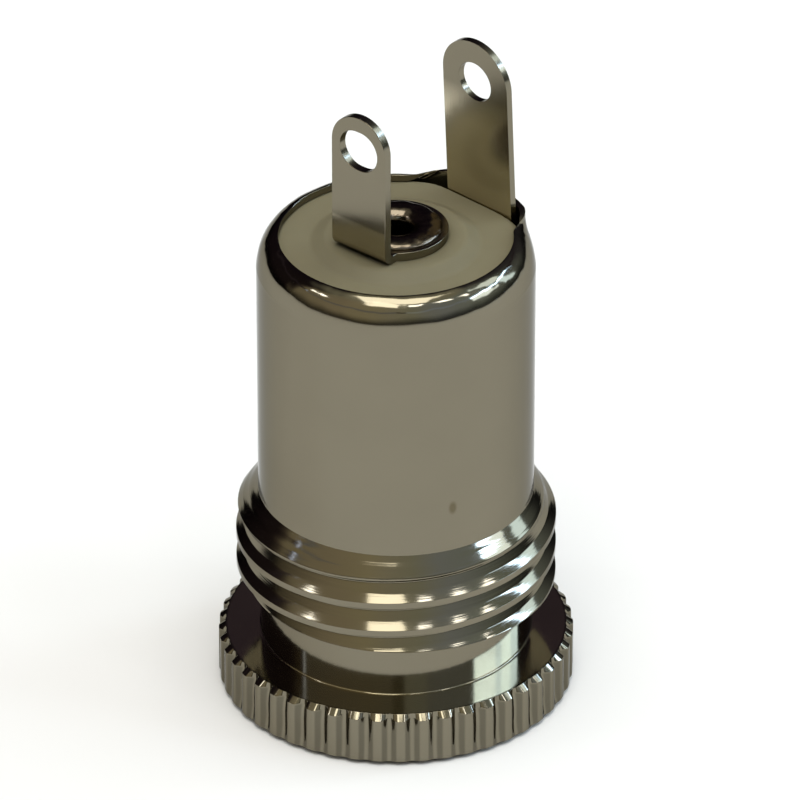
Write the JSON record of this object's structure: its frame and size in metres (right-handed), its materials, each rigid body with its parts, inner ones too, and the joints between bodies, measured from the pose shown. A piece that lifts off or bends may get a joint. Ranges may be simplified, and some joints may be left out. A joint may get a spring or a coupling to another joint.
{
  "type": "dc barrel jack",
  "caption": "Panel mounting dc power socket: turned metal body with knurled head and short thread, rim rolled over a plastic insulator, solder lugs at the rear.",
  "frame": {"origin": "on the jack's axis, in the plane of its knurled front face", "axes": "+Z along the jack's axis, from the plug's mouth towards the solder lugs; +Y towards the sleeve lug"},
  "size_m": [0.011, 0.011, 0.0212],
  "materials": {
    "shell_metal": "bright nickel plating over turned brass",
    "insulator_plastic": "satin moulded nylon, cream",
    "pin_metal": "bright nickel plating over turned brass, worn at the rolled end",
    "terminal_metal": "bright nickel plating over stamped brass sheet"
  },
  "bodies": {
    "root": {"shell": "shell_metal", "rear_insulator": "insulator_plastic", "centre_pin": "pin_metal", "pin_terminal": "terminal_metal", "sleeve_terminal": "terminal_metal"}
  },
  "joints": []
}
